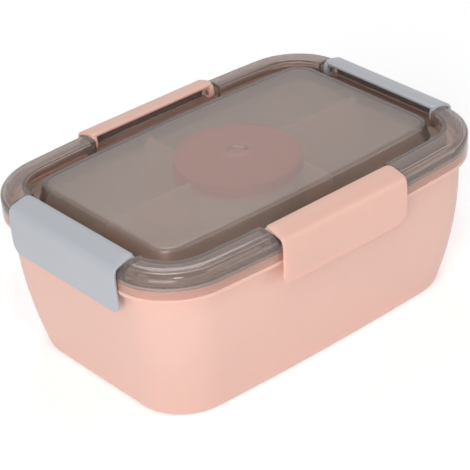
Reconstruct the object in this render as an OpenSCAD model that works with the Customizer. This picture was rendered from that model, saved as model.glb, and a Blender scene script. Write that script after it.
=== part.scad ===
// Lunch box with a divided tray, a dressing cup and a clip-down lid.
// Origin: centre of the footprint, on the surface it stands on. +X runs along the
// long side, +Z points up.

/* [Lid] */
// Length of the lid, without clasps
lid_l = 240; // [220:1:260]
// Width of the lid at the middle of its long sides, without clasps
lid_w = 167; // [155:1:180]
// Plan radius of the lid's corners
lid_corner_r = 36; // [32:1:40]
// How far each long side bulges beyond its ends
lid_bow = 5.3; // [3:0.1:7]
// Height of the top of the rim above its skirt's lower edge
rim_h = 10.3; // [10:0.1:11.5]
// How much lower the rim is under each clasp
bed_d = 1.1; // [0.8:0.1:1.4]
// How far the lid's outer lip hangs below its skirt
lip_drop = 4.4; // [3:0.2:5]
// Width of the rim, from its outer face to the channel inside it
rim_w = 15.2; // [14.8:0.1:15.6]
// Wall of the lid
lid_wall = 2.2; // [1.8:0.1:2.6]
// Depth of the channel between rim and raised panel, below the top of the rim
channel_d = 8.4; // [8:0.1:8.7]

/* [Raised panel] */
// Length of the raised panel's top
panel_l = 194.2; // [186:1:198]
// Width of the raised panel's top
panel_w = 113.8; // [106:1:117]
// Plan radius of the raised panel's corners
panel_corner_r = 12; // [8:1:14]
// Height of the raised panel above the rim
panel_rise = 0.5; // [0.2:0.1:2]
// How far the panel's side wall spreads towards its foot
panel_splay = 2.6; // [1:0.2:3]
// Radius of the round dimple at the panel's centre
dimple_r = 6; // [3:0.5:10]
// Depth of that dimple
dimple_d = 0.4; // [0.2:0.1:0.8]

/* [Bowl] */
// Length of the bowl's base
base_l = 210; // [196:1:216]
// Width of the bowl's base
base_w = 132.6; // [122:1:138]
// Plan radius of the base's corners
base_corner_r = 28.6; // [24:1:34]
// Height of the bowl, to the top of its rim
bowl_h = 88.6; // [80:1:100]
// Wall of the bowl
bowl_wall = 2.4; // [2:0.1:3]
// Height of the bowl's flange
flange_h = 6.8; // [6:0.2:8]
// How far the flange stands out from the wall below it
flange_out = 5.1; // [4.8:0.1:5.4]
// Rounding of the bowl's bottom edge
base_round = 3.2; // [2:0.2:5]
// Depth of the tray's ledge below the top of the rim
ledge_d = 3.6; // [3.2:0.1:5]
// Width of the tray's ledge
ledge_w = 1.8; // [1.4:0.1:2.2]

/* [Seal] */
// Width of the gasket
seal_w = 2.2; // [1.8:0.1:2.4]
// Thickness of the gasket
seal_t = 1.7; // [1.4:0.1:1.9]
// Distance from the lid's outer face to the gasket's groove
seal_inset = 2.6; // [2.2:0.1:2.8]

/* [Clasps] */
// Length of each clasp along its side
clasp_l = 89; // [70:1:96]
// Thickness of the clasps
clasp_t = 1.9; // [1.6:0.1:2]
// Height of a clasp's lower edge below the skirt of the lid
clasp_drop = 19.6; // [17:0.2:24]
// Rounding of a clasp's lower corners
clasp_round = 6; // [3:0.5:9]
// How far the hook reaches in under the flange
hook_reach = 1.4; // [0.8:0.1:1.6]
// Length of each hook along the clasp
hook_l = 76; // [50:1:80]
// How far a clasp opens, in degrees
clasp_open = 95; // [60:5:95]

/* [Clasp hinges] */
// Distance of the hinge pins from the lid's outer face
pivot_inset = 9.8; // [9.6:0.1:10]
// Height of the hinge pins above the skirt of the lid
pivot_h = 5.2; // [5:0.1:5.4]
// Radius of the hinge pins
pin_r = 1.5; // [1.2:0.1:1.8]
// Radial clearance of the pins
pin_gap = 0.08; // [0.05:0.01:0.1]
// Outer radius of the hinge knuckles
knuckle_r = 3.4; // [3:0.1:3.4]
// Width of the hinge knuckles
knuckle_w = 3; // [2.5:0.1:4]

/* [Tray] */
// Depth of the tray's compartments below its rim
tray_d = 36; // [25:1:45]
// Wall of the tray
tray_wall = 1.6; // [1.2:0.1:2]
// Height of the dividers above the tray's rim
divider_rise = 9; // [4:0.5:9.6]
// Sideways place of the two cross dividers, one each side of the middle
cross_x = 20; // [0:1:28]
// Sideways place of the two long dividers, one each side of the middle
long_y = 4; // [0:1:24]

/* [Dressing cup] */
// Radius of the cup at its mouth
cup_r = 33.6; // [28:0.2:36]
// Radius of the cup at its foot
cup_foot_r = 30.6; // [24:0.2:33]
// Depth of the cup below its flange
cup_d = 30; // [20:1:33]
// Wall of the cup
cup_wall = 1.5; // [1.2:0.1:2]
// Height of the cup's neck above its flange
neck_h = 5.6; // [4:0.2:6]
// Height of the cup's lid
cup_lid_h = 7.6; // [6.4:0.1:8]
// Length of the pull tab on the cup's lid
tab_l = 6; // [3:0.5:7]

/* [Fits] */
// Gap between the lid's skirt and the bowl's flange
seat_gap = 0.2; // [0.1:0.05:0.3]
// Sideways gap around pieces that lift out
lift_gap = 0.5; // [0.3:0.1:0.6]
// Gap around a clasp's moving parts
swing_gap = 0.4; // [0.3:0.05:0.5]

/* [Hidden] */
$fn = 64;
eps = 0.01;

// Points on each corner arc and each side of an outline
arc_steps = 10;
side_steps = 8;

// Heights, from the table up
skirt_z = bowl_h + seat_gap;
rim_z = skirt_z + rim_h;
bed_z = rim_z - bed_d;
lip_z = skirt_z - lip_drop;
panel_z = rim_z + panel_rise;
channel_z = rim_z - channel_d;
lid_under_z = channel_z - 2.6;
flange_z = bowl_h - flange_h;
ledge_z = bowl_h - ledge_d;
pivot_z = skirt_z + pivot_h;
clasp_low_z = skirt_z - clasp_drop;
tray_rim_z = ledge_z + tray_wall;
tray_floor_z = tray_rim_z - tray_d;
divider_z = tray_rim_z + divider_rise;

// Distances in from the lid's outer face
flange_inset = 0.3;
band_inset = flange_inset + 1.1;
lip_t = band_inset - 0.4;
wall_inset = flange_inset + flange_out;
mouth_inset = wall_inset + bowl_wall;
pocket_inset = pivot_inset - knuckle_r - swing_gap;
pocket_w = 10.8;
pocket_z = lid_under_z + 1.7;
pocket_half = clasp_l / 2 + 0.7;
pocket_end_wall = 2.2;
pin_l = knuckle_w + 1;

// Chamfer on the flange's edges
flange_edge = 0.5;

// Clasps: corner of the top plate, and the radius about the pins at which the hook
// swings clear of the flange's edge
clasp_end_r = 3;
hook_r = norm([pivot_inset - flange_inset - flange_edge, pivot_z - flange_z]) + 0.2;

// Cup and its lid
flange_t = 1.4;
well_r = cup_r + lift_gap;
cup_flange_r = well_r + tray_wall + 0.4;
cup_flange_z = tray_rim_z;
cup_floor_z = cup_flange_z - cup_d;
neck_z = cup_flange_z + flange_t + neck_h;
cup_lid_z = cup_flange_z + flange_t + swing_gap;
cup_lid_r = cup_r + 0.35 + 1.6;
tab_w = 12;
tab_t = 1.4;

// Power of the curve that the bowl's wall follows from base to flange
wall_curve = 2.06;

// Bulge of the long sides at a distance in from the lid's outer face
function bow_at(inset) = lid_bow * (1 - 0.024 * inset);

// Outline of a rounded rectangle at height z, anticlockwise from above. Its long sides
// are drawn in towards their ends by bow, in proportion to the square of the distance
// from the middle.
function outline(half_l, half_w, r, bow, z) = [
    for (p = concat(corner(0, half_l, half_w, r), side(0, half_l, half_w, r),
                    corner(1, half_l, half_w, r), side(1, half_l, half_w, r),
                    corner(2, half_l, half_w, r), side(2, half_l, half_w, r),
                    corner(3, half_l, half_w, r), side(3, half_l, half_w, r)))
        [p.x, p.y - bow * (p.y / half_w) * pow(p.x / half_l, 2), z]];

// A point on the corner arc of quadrant q, at angle a
function on_corner(q, half_l, half_w, r, a) =
    [(q == 0 || q == 3 ? 1 : -1) * (half_l - r) + r * cos(a),
     (q < 2 ? 1 : -1) * (half_w - r) + r * sin(a)];

// The corner arc of quadrant q
function corner(q, half_l, half_w, r) =
    [for (k = [0:arc_steps]) on_corner(q, half_l, half_w, r, 90 * (q + k / arc_steps))];

// The straight side after quadrant q's corner, without its ends
function side(q, half_l, half_w, r) =
    let (a = 90 * (q + 1),
         start = on_corner(q, half_l, half_w, r, a),
         end = on_corner((q + 1) % 4, half_l, half_w, r, a))
    [for (k = [1:side_steps - 1]) start + (end - start) * k / side_steps];

// A ring that follows the lid's outer face at a distance inside it
function rim_ring(inset, z) =
    outline(lid_l / 2 - inset, lid_w / 2 - inset, lid_corner_r - inset, bow_at(inset), z);

// A ring that follows the raised panel's edge at a distance outside it
function panel_ring(outset, z) =
    outline(panel_l / 2 + outset, panel_w / 2 + outset, panel_corner_r + outset,
            bow_at(lid_w / 2 - panel_w / 2) + 0.8, z);

// Half size of the bowl at height z: a curve that is steep at the flange
function swell(low, high, z) = low + (high - low) * (1 - pow(1 - z / flange_z, wall_curve));

// A ring on the bowl's outer wall at height z, drawn in by inset
function bowl_ring(inset, z) =
    let (t = min(z, flange_z), up = t / flange_z)
    outline(swell(base_l / 2, lid_l / 2 - wall_inset, t) - inset,
            swell(base_w / 2, lid_w / 2 - wall_inset, t) - inset,
            base_corner_r + (lid_corner_r - wall_inset - base_corner_r) * up - inset,
            3 + (bow_at(wall_inset) - 3) * up * up, z);

// A ring that follows the bowl's mouth, at a distance inside the lid's outer face
function tray_ring(inset, z) = rim_ring(mouth_inset + lift_gap + inset, z);

// Closed solid through rings of equal length, with a flat cap at each end that fans out
// from a point on the vertical axis
module skin(rings) {
    n = len(rings[0]);
    last = len(rings) - 1;
    start_hub = n * (last + 1);
    polyhedron(
        points = concat([for (ring = rings) each ring],
                        [[0, 0, rings[0][0].z], [0, 0, rings[last][0].z]]),
        faces = concat(
            [for (j = [0:n - 1]) [start_hub, j, (j + 1) % n]],
            [for (i = [0:last - 1], j = [0:n - 1])
                let (k = (j + 1) % n) [i * n + j, (i + 1) * n + j, (i + 1) * n + k]],
            [for (i = [0:last - 1], j = [0:n - 1])
                let (k = (j + 1) % n) [i * n + j, (i + 1) * n + k, i * n + k]],
            [for (j = [0:n - 1]) [start_hub + 1, last * n + (j + 1) % n, last * n + j]]),
        convexity = 8);
}

// Round an edge from a lower ring to an upper one: quarter turn of radius r
function turn(r, steps = 3) = [for (k = [0:steps])
    [r * (1 - sin(90 * k / steps)), r * (1 - cos(90 * k / steps))]];

// Outer tub with flange, sealing rim and tray ledge
module bowl() {
    fillet = 2;
    inner_round = 5;
    ledge_slope = 7;
    color("#eebfae")
    skin(concat(
        [for (p = turn(base_round)) bowl_ring(p[0], p[1])],
        [for (k = [1:8]) bowl_ring(0, base_round + (flange_z - fillet - base_round) * k / 8)],
        [bowl_ring(-0.25, flange_z - 0.9), bowl_ring(-0.9, flange_z - 0.3),
         rim_ring(wall_inset - fillet, flange_z), rim_ring(flange_inset + 0.5, flange_z),
         rim_ring(flange_inset, flange_z + 0.5), rim_ring(flange_inset, lip_z - 0.9),
         rim_ring(flange_inset + 0.5, lip_z - 0.4), rim_ring(band_inset, lip_z - 0.4),
         rim_ring(band_inset, bowl_h - 0.4), rim_ring(band_inset + 0.4, bowl_h),
         rim_ring(mouth_inset - 0.4, bowl_h), rim_ring(mouth_inset, bowl_h - 0.4),
         rim_ring(mouth_inset, ledge_z), rim_ring(mouth_inset + ledge_w, ledge_z),
         rim_ring(mouth_inset + ledge_w, ledge_z - 1.2)],
        [for (k = [7:-1:1]) bowl_ring(bowl_wall,
            bowl_wall + inner_round + (ledge_z - ledge_slope - bowl_wall - inner_round) * k / 7)],
        [for (k = [3:-1:0]) bowl_ring(bowl_wall + turn(inner_round)[k][0],
            bowl_wall + turn(inner_round)[k][1])]));
}

// Lifts out: tub hung on the bowl's ledge, with dividers and a well for the cup
module tray() {
    body_inset = 3.2;
    taper = 6;
    round_r = 6;
    floor_z = tray_floor_z;
    function tub(wall, z) = tray_ring(body_inset + wall + taper * (tray_rim_z - z) / tray_d, z);
    module envelope(wall) {
        skin(concat(
            [for (p = turn(round_r)) tub(wall + p[0], floor_z - tray_wall + wall + p[1])],
            [tub(wall, tray_rim_z - tray_wall - 1), tub(wall, tray_rim_z + (wall > 0 ? eps : 0))]));
    }
    module dividers() {
        // each divider runs out from the well, and its raised top stops inside the panel
        for (turned = [0, 180]) rotate(turned) {
            divider(lid_w / 2, -cross_x, 90);
            divider(lid_l / 2, -long_y, 0);
        }
    }
    color("#e9e4df", 0.8)
    difference() {
        union() {
            difference() {
                union() {
                    envelope(0);
                    skin([tray_ring(0, tray_rim_z - tray_wall), tray_ring(0, tray_rim_z)]);
                }
                envelope(tray_wall);
            }
            intersection() {
                envelope(0.4);
                union() {
                    dividers();
                    translate([0, 0, floor_z - 1]) cylinder(r = well_r + tray_wall, h = tray_d + 1);
                }
            }
            dividers_raised();
        }
        translate([0, 0, floor_z]) cylinder(r = well_r, h = tray_d + divider_rise + 1);
    }
}

// Upright wall that starts at the well and runs outwards along +X turned by angle
module divider(reach, aside, angle) {
    rotate(angle) translate([0, -aside - tray_wall / 2, tray_floor_z - 1])
        cube([reach, tray_wall, tray_d + 1]);
}

// The dividers' raised tops, which reach up inside the lid's raised panel
module dividers_raised() {
    clear_r = cup_lid_r + 1.6;
    for (turned = [0, 180]) rotate(turned) {
        raised_top(panel_w / 2, -cross_x, 90, clear_r);
        raised_top(panel_l / 2, -long_y, 0, clear_r);
    }
}

// One raised top: a bar with sloped ends between the cup's lid and the panel's wall
module raised_top(panel_reach, aside, angle, clear_r) {
    start = sqrt(clear_r * clear_r - aside * aside);
    end = panel_reach - lid_wall - 1.6;
    foot = 4;
    rotate(angle) translate([0, -aside + tray_wall / 2, 0]) rotate([90, 0, 0])
        linear_extrude(tray_wall)
            polygon([[start, tray_rim_z - 4], [start, divider_z - 1], [start + 1, divider_z],
                     [end - 1, divider_z], [end, divider_z - 1], [end + foot, tray_rim_z],
                     [end + foot, tray_rim_z - 4]]);
}

// Small round cup that hangs in the tray's well
module dressing_cup() {
    color("#ece9e6", 0.8)
    rotate_extrude($fn = 96)
        polygon([[0, cup_floor_z], [cup_foot_r - 2, cup_floor_z], [cup_foot_r, cup_floor_z + 2],
                 [cup_r - 0.4, cup_flange_z], [cup_flange_r, cup_flange_z],
                 [cup_flange_r, cup_flange_z + flange_t], [cup_r, cup_flange_z + flange_t],
                 [cup_r, neck_z], [cup_r - cup_wall, neck_z],
                 [cup_r - cup_wall - 0.4, cup_flange_z], [cup_foot_r - cup_wall, cup_floor_z + 3.4],
                 [cup_foot_r - cup_wall - 2, cup_floor_z + cup_wall], [0, cup_floor_z + cup_wall]]);
}

// Push-on lid of the dressing cup, with a pull tab
module cup_lid() {
    top_t = 1.5;
    lip = 0.9;
    inner_r = cup_r + 0.35;
    plug_r = cup_r - cup_wall - 0.35;
    top_z = cup_lid_z + cup_lid_h;
    tab_angle = 168;
    color("#eebfae") {
        rotate_extrude($fn = 96)
            polygon([[0, top_z - top_t], [plug_r - 1.4, top_z - top_t], [plug_r - 1.4, top_z - 4],
                     [plug_r, top_z - 4], [plug_r, top_z - top_t], [inner_r, top_z - top_t],
                     [inner_r, cup_lid_z], [cup_lid_r, cup_lid_z], [cup_lid_r, top_z - lip],
                     [cup_lid_r - lip, top_z], [cup_lid_r - 4, top_z], [cup_lid_r - 4.8, top_z - 0.5],
                     [0, top_z - 0.5]]);
        rotate(tab_angle) translate([cup_lid_r - 1, -tab_w / 2, cup_lid_z])
            cube([tab_l - 3 + 1, tab_w, tab_t]);
        rotate(tab_angle) translate([cup_lid_r + tab_l - 3 - tab_w / 4, 0, cup_lid_z])
            intersection() {
                cylinder(r = tab_w / 2, h = tab_t);
                translate([0, -tab_w / 2, 0]) cube([tab_w, tab_w, tab_t]);
            }
    }
}

// Outer lid: hollow rim, raised panel, hinge pockets and moulded hinge pins
module lid() {
    groove_in = seal_inset + seal_w + 0.2;
    land = groove_in + 2;
    groove_z = skirt_z + seal_t - 0.1;
    hollow_out = lid_wall + 0.2;
    hollow_in = rim_w - lid_wall;
    color("#8d7f79", 0.75) {
        difference() {
            union() {
                skin(concat(
                    [panel_ring(-lid_wall, panel_z - lid_wall),
                     panel_ring(panel_splay - lid_wall, lid_under_z + 0.6),
                     panel_ring(panel_splay - lid_wall + 0.6, lid_under_z),
                     rim_ring(hollow_in, lid_under_z), rim_ring(hollow_in, rim_z - lid_wall - 0.6),
                     rim_ring(hollow_in - 0.8, rim_z - lid_wall),
                     rim_ring(6.4, rim_z - lid_wall - 0.2), rim_ring(3.8, rim_z - lid_wall - 1.2),
                     rim_ring(hollow_out, rim_z - lid_wall - 2.4),
                     rim_ring(hollow_out, groove_z + 1.6), rim_ring(land, groove_z + 1.6),
                     rim_ring(land, skirt_z), rim_ring(groove_in, skirt_z),
                     rim_ring(groove_in, groove_z), rim_ring(seal_inset, groove_z),
                     rim_ring(seal_inset, skirt_z), rim_ring(lip_t, skirt_z),
                     rim_ring(lip_t, lip_z), rim_ring(0.3, lip_z)],
                    [rim_ring(0, lip_z + 0.3)], rim_rings(), panel_rings()));
                intersection() {
                    for (side = [0:3]) at_side(side) pocket_block();
                    rim_solid();
                }
            }
            for (side = [0:3]) at_side(side) pocket();
            translate([0, 0, panel_z - dimple_d]) cylinder(r = dimple_r, h = 2);
        }
        for (side = [0:3], end = [-1, 1]) at_side(side)
            translate([end * (pocket_half + 1), -pivot_inset, pivot_z])
                rotate([0, -end * 90, 0]) cylinder(r = pin_r, h = pin_l + 1, $fn = 32);
    }
}

// Outer shoulder of the rim: distance in from the lid's outer face, and height over rim_z
shoulder = [[0, -5.4], [0.5, -3.8], [1.8, -2.4], [3.5, -1.6], [4.1, -0.9], [6.2, -0.3], [9.5, 0]];

// Rings over the rim, from the top of its upright face to the middle of the channel
function rim_rings() = concat(
    [for (p = shoulder) rim_ring(p[0], rim_z + p[1])],
    [rim_ring(rim_w - 1.1, rim_z - 0.1), rim_ring(rim_w - 0.3, rim_z - 0.5),
     rim_ring(rim_w, rim_z - 1.3), rim_ring(rim_w + 0.5, channel_z + 0.8),
     rim_ring(rim_w + 1.3, channel_z)]);

// Rings from the channel up to the raised panel's top
function panel_rings() = [
    panel_ring(panel_splay + 0.8, channel_z), panel_ring(panel_splay, channel_z + 0.8),
    panel_ring(0.6, panel_z - 1.4), panel_ring(0, panel_z - 0.4), panel_ring(-0.9, panel_z)];

// The lid's rim and channel without their hollows
module rim_solid() {
    groove_in = seal_inset + seal_w + 1;
    mouth_in = mouth_inset + 0.5;
    skin(concat([rim_ring(rim_w + 6, lid_under_z), rim_ring(mouth_in, lid_under_z),
                 rim_ring(mouth_in, skirt_z), rim_ring(groove_in, skirt_z),
                 rim_ring(groove_in, skirt_z + seal_t), rim_ring(0.6, skirt_z + seal_t)],
                rim_rings(), [rim_ring(rim_w + 6, channel_z)]));
}

// Put a shape drawn with the lid's outer face at y = 0, outwards +Y, on one of the
// sides: front, right, back, left
module at_side(side) {
    rotate(180 + 90 * side) translate([0, (side % 2 == 0 ? lid_w : lid_l) / 2, 0]) children();
}

// Space that a clasp's plate and knuckles swing in, and the lowered bed its plate rests over
module pocket() {
    translate([-pocket_half, -pocket_inset - pocket_w, pocket_z])
        cube([2 * pocket_half, pocket_w, rim_h]);
    along_side(2 * pocket_half)
        polygon(concat([for (p = shoulder) [-p[0], bed_z + p[1]]],
                       [[-9.5, rim_z + 2], [2, rim_z + 2], [2, bed_z - 5.4]]));
}

// Solid stretch of rim that a pocket is cut into
module pocket_block() {
    half = pocket_half + pocket_end_wall;
    translate([-half, -rim_w - 4, lid_under_z - 1]) cube([2 * half, rim_w, rim_h + 6]);
}

// Gasket in the groove under the lid's rim
module lid_seal() {
    low = skirt_z - seat_gap / 2;
    gap = 0.1;
    color("#dcdcd8")
    difference() {
        skin([rim_ring(seal_inset + gap, low), rim_ring(seal_inset + gap, skirt_z + seal_t - 0.1)]);
        skin([rim_ring(seal_inset + gap + seal_w, low - 1),
              rim_ring(seal_inset + gap + seal_w, skirt_z + seal_t + 1)]);
    }
}

// Outer line of a clasp, from the end of its top plate over the rim to its lower edge:
// distance out from the lid's face, and height
clasp_line = [
    [-13.2, bed_z + 1.4], [-12.4, bed_z + 2.1], [-10, bed_z + 2.3], [-7.1, bed_z + 2.1],
    [-3.4, bed_z + 1.2], [-0.6, bed_z + 0.4], [0.8, bed_z - 0.5], [1.8, bed_z - 2],
    [2.5, bed_z - 5], [2.4, bed_z - 12.5], [2.2, bed_z - 18], [1.4, clasp_low_z + 3],
    [1.1, clasp_low_z + 0.5], [0.7, clasp_low_z]];

// The same line moved inwards by the clasp's thickness
clasp_inner = [for (k = [0:len(clasp_line) - 1])
    let (before = clasp_line[max(k - 1, 0)],
         after = clasp_line[min(k + 1, len(clasp_line) - 1)],
         along = (after - before) / norm(after - before))
    clasp_line[k] + clasp_t * [along.y, -along.x]];

// Snap clasp with two hinge knuckles and a hook bead, drawn outwards +Y
module clasp(hue) {
    half = clasp_l / 2;
    last = len(clasp_line) - 1;
    color(hue)
    difference() {
        union() {
            intersection() {
                along_side(clasp_l)
                    polygon(concat(clasp_line,
                                   [for (k = [last - 1:-1:0]) clasp_inner[k]]));
                translate([0, 20, 0]) rotate([90, 0, 0]) linear_extrude(60)
                    rounded_low(half, clasp_low_z, rim_z + 6, clasp_round);
                translate([0, 0, clasp_low_z - 1]) linear_extrude(60)
                    rounded_low(half, clasp_line[0].x, 10, clasp_end_r);
            }
            along_side(hook_l) hook_section();
            for (end = [-1, 1]) translate([end * (half - knuckle_w / 2), 0, 0])
                along_side(knuckle_w) knuckle_section();
        }
        translate([-half - 1, -pivot_inset, pivot_z]) rotate([0, 90, 0])
            cylinder(r = pin_r + pin_gap, h = clasp_l + 2, $fn = 32);
    }
}

// Extrude a section of (outwards, up) along the side, centred
module along_side(l) {
    translate([-l / 2, 0, 0]) rotate([90, 0, 90]) linear_extrude(l) children();
}

// Rectangle from low to high with its two low corners rounded
module rounded_low(half, low, high, r) {
    translate([-half + r, low]) square([2 * (half - r), high - low]);
    translate([-half, low + r]) square([2 * half, high - low - r]);
    for (end = [-1, 1]) translate([end * (half - r), low + r]) circle(r);
}

// Bead whose top follows the swing about the pins, so that it leaves the flange freely
module hook_section() {
    tip = pivot_inset - flange_inset - hook_reach;
    root = pivot_inset + 0.6;
    top = [for (k = [0:3]) let (y = tip + (root - tip) * k / 3)
        [y - pivot_inset, pivot_z - sqrt(hook_r * hook_r - y * y)]];
    polygon(concat(top, [[1.6, top[3].y], [1.6, top[0].y - 5], [0.6, top[0].y - 5],
                         [tip - pivot_inset, top[0].y - 1.6]]));
}

// Knuckle around the pin, with its neck up to the top plate
module knuckle_section() {
    translate([-pivot_inset, pivot_z]) circle(knuckle_r);
    translate([-pivot_inset - 2.6, pivot_z]) square([6, bed_z + 1 - pivot_z]);
}

module clasp_front() { at_side(0) clasp("#f0c6ba"); }
module clasp_right() { at_side(1) clasp("#b3b7ba"); }
module clasp_back() { at_side(2) clasp("#f0c6ba"); }
module clasp_left() { at_side(3) clasp("#b3b7ba"); }

bowl();
tray();
dressing_cup();
cup_lid();
lid();
lid_seal();
clasp_front();
clasp_back();
clasp_left();
clasp_right();
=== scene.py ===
"""Dresses the lunch box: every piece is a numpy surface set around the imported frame."""
import math

import bpy
import numpy as np
from mathutils import Matrix, Vector


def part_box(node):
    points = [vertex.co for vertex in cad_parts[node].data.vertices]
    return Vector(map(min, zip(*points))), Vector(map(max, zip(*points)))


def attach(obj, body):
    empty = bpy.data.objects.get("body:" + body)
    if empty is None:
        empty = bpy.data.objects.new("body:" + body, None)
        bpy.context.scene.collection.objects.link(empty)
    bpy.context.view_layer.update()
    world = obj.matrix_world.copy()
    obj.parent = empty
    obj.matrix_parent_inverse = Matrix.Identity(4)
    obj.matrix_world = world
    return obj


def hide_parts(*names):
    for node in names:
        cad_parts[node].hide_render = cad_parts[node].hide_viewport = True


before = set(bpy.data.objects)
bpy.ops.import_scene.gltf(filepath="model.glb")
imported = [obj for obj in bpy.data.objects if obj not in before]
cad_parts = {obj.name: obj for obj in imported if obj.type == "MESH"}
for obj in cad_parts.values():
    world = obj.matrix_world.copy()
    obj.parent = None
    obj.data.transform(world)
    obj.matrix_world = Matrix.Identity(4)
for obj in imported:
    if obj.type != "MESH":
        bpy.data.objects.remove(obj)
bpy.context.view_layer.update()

MM = 0.001

# ---------------------------------------------------------------- sizes, in millimetres

LID_HALF = (120.0, 83.5)
LID_CORNER = 36.0
LID_BOW = 5.3
LID_WALL = 2.2
PANEL_HALF = (97.1, 56.9)
PANEL_CORNER = 12.0
PANEL_SPLAY = 2.6
PANEL_BOW = 2.7
HAZE_HALF = (96.2, 58.0)
HAZE_EDGE = 1.8
DIMPLE_R = 6.2

BOWL_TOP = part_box("bowl")[1].z / MM
SKIRT = BOWL_TOP + 0.2
RIM_TOP = SKIRT + 10.3
BED_TOP = RIM_TOP - 1.1
BED_LOW = SKIRT + 1
BED_RISE = RIM_TOP - 6.4 - SKIRT
LIP_LOW = SKIRT - 4.4
LIP_T = 1.0
PANEL_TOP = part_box("lid")[1].z / MM
CHANNEL = RIM_TOP - 8.4
LID_UNDER = CHANNEL - 2.6
RIM_WIDTH = 15.2
HOLLOW_IN = RIM_WIDTH - LID_WALL
HOLLOW_OUT = LID_WALL + 0.2

PIVOT_IN = 9.8
PIVOT_Z = SKIRT + 5.2
PIN_R = 1.5
POCKET_IN = 5.7
CORNER_BLOCK = math.radians(5)
POCKET_OUT = 16.8
POCKET_FLOOR = LID_UNDER + 1.7
POCKET_HALF = 45.2
BLOCK_HALF = 47.4

SEAL_IN = 2.6
SEAL_WIDTH = 2.2
SEAL_THICK = 1.7

BASE_HALF = (105.0, 66.3)
BASE_CORNER = 28.6
BASE_BOW = 3.0
BASE_ROUND = 3.2
BOWL_WALL = 2.4
FLANGE_Z = BOWL_TOP - 6.8
FLANGE_IN = 0.3
BAND_IN = 1.4
WALL_IN = 5.4
WALL_CURVE = 2.06
MOUTH_IN = WALL_IN + BOWL_WALL
LEDGE_Z = BOWL_TOP - 3.6
LEDGE_W = 1.8

CLASP_HALF = 44.5
CLASP_T = 1.9
CLASP_EDGE = 0.65
CLASP_FLAT = 0.05
CLASP_LOW = SKIRT - 19.6
CLASP_ROUND = 6.0
CLASP_TOP_ROUND = 3.0
KNUCKLE_R = 3.4
KNUCKLE_W = 3.0
HOOK_HALF = 38.0
HOOK_REACH = 1.4

TRAY_WALL = 1.6
TRAY_RIM = LEDGE_Z + TRAY_WALL
TRAY_FLOOR = TRAY_RIM - 36.0
TRAY_IN = MOUTH_IN + 0.5
DIVIDER_TOP = TRAY_RIM + 9.0
CROSS_X = 20.0
LONG_Y = 4.0

CUP_R = 33.6
CUP_FOOT_R = 30.6
CUP_WALL = 1.5
WELL_R = CUP_R + 0.5
CUP_FLANGE_R = WELL_R + TRAY_WALL + 0.4
CUP_FLANGE_T = 1.4
CUP_FLOOR = TRAY_RIM - 30.0
NECK_TOP = TRAY_RIM + CUP_FLANGE_T + 5.6
CUP_LID_LOW = TRAY_RIM + CUP_FLANGE_T + 0.4
CUP_LID_TOP = CUP_LID_LOW + 7.6
CUP_LID_R = CUP_R + 0.35 + 1.6
TAB_ANGLE = math.radians(168)

ARC_STEPS = 28
# Half the gap between two rows or columns that make a crisp step
THIN = 0.01


# ---------------------------------------------------------------- outlines and surfaces


def bow_at(inset):
    """Bulge of the long sides at a distance inside the lid's outer face."""
    return LID_BOW * (1 - 0.024 * inset)


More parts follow.
